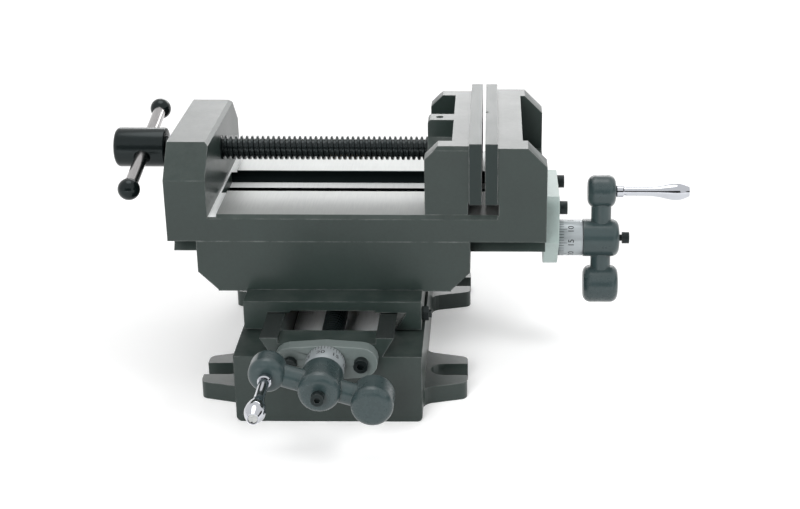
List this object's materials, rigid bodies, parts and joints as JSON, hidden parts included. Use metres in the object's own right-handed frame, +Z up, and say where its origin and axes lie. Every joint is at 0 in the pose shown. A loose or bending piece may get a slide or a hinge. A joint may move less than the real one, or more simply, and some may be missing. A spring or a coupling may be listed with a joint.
{
  "type": "cross slide vise",
  "caption": "Screw vise on a two-axis dovetail slide: slotted base, cross saddle, vise body with jaw plates, tommy-bar screw, and lead screws with dials and balanced cranks.",
  "frame": {"origin": "centre of the base's underside", "axes": "+X along the vise screw towards the fixed jaw, +Y to the back, +Z up"},
  "size_m": [0.4353, 0.3903, 0.187],
  "materials": {
    "casting_paint": "semi-gloss",
    "crank_paint": "gloss",
    "plate_grey": "satin",
    "black_steel": "black oxide",
    "bright_steel": "ground",
    "dial_satin": "satin",
    "handle_chrome": "polished",
    "nut_bronze": "machined"
  },
  "bodies": {
    "base": {"base_casting": "casting_paint", "y_end_plate": "plate_grey", "y_plate_bolts": "black_steel"},
    "saddle": {"saddle": "casting_paint", "y_gib": "bright_steel", "y_gib_screws": "black_steel", "y_gib_nuts": "black_steel", "x_gib": "bright_steel", "x_gib_screws": "black_steel", "x_gib_nuts": "black_steel", "y_nut": "nut_bronze", "y_nut_screws": "black_steel", "x_nut": "nut_bronze", "x_nut_screws": "black_steel"},
    "vise_body": {"vise_body": "casting_paint", "x_end_plate": "plate_grey", "x_plate_bolts": "black_steel", "fixed_jaw_plate": "bright_steel", "fixed_jaw_screws": "black_steel"},
    "moving_jaw": {"moving_jaw": "casting_paint", "moving_jaw_plate": "bright_steel", "moving_jaw_screws": "black_steel", "jaw_keeper": "bright_steel", "keeper_screws": "black_steel", "screw_retaining_pin": "black_steel"},
    "vise_screw": {"vise_screw": "black_steel"},
    "tommy_bar": {"tommy_bar": "black_steel", "tommy_balls": "black_steel"},
    "y_screw": {"y_lead_screw": "black_steel", "y_dial": "dial_satin", "y_crank": "crank_paint", "y_crank_bolt": "black_steel", "y_handle_stud": "bright_steel"},
    "y_handle": {"y_handle_grip": "handle_chrome"},
    "x_screw": {"x_lead_screw": "black_steel", "x_dial": "dial_satin", "x_crank": "crank_paint", "x_crank_bolt": "black_steel", "x_handle_stud": "bright_steel"},
    "x_handle": {"x_handle_grip": "handle_chrome"}
  },
  "joints": [
    {"name": "y_slide", "type": "slide", "parent": "base", "child": "saddle", "axis": [0, 1, 0], "range_m": [-0.042, 0.058]},
    {"name": "x_slide", "type": "slide", "parent": "saddle", "child": "vise_body", "axis": [1, 0, 0], "range_m": [-0.052, 0.06]},
    {"name": "jaw_slide", "type": "slide", "parent": "vise_body", "child": "moving_jaw", "axis": [1, 0, 0], "range_m": [-0.15, 0.002]},
    {"name": "vise_screw_turn", "type": "hinge", "parent": "moving_jaw", "child": "vise_screw", "pos_m": [-0.1, 0, 0.1586], "axis": [1, 0, 0], "range_deg": [-13510, 190]},
    {"name": "bar_slide", "type": "slide", "parent": "vise_screw", "child": "tommy_bar", "axis": [0, 0.982, 0.1891], "range_m": [-0.039, 0.039]},
    {"name": "y_screw_turn", "type": "hinge", "parent": "base", "child": "y_screw", "pos_m": [0, -0.139, 0.0515], "axis": [0, -1, 0], "range_deg": [-3790, 5230]},
    {"name": "y_handle_spin", "type": "hinge", "parent": "y_screw", "child": "y_handle", "pos_m": [-0.0349, -0.2, 0.06217], "axis": [0, -1, 0], "continuous": true},
    {"name": "x_screw_turn", "type": "hinge", "parent": "vise_body", "child": "x_screw", "pos_m": [0.154, 0, 0.0864], "axis": [1, 0, 0], "range_deg": [-4690, 5410]},
    {"name": "x_handle_spin", "type": "hinge", "parent": "x_screw", "child": "x_handle", "pos_m": [0.215, 0.00571, 0.12245], "axis": [1, 0, 0], "continuous": true}
  ],
  "couplings": [
    {"joint": "y_screw_turn", "follows": "y_slide", "rad_per_m": 1570.8},
    {"joint": "x_screw_turn", "follows": "x_slide", "rad_per_m": 1570.8},
    {"joint": "vise_screw_turn", "follows": "jaw_slide", "rad_per_m": 1570.8}
  ]
}
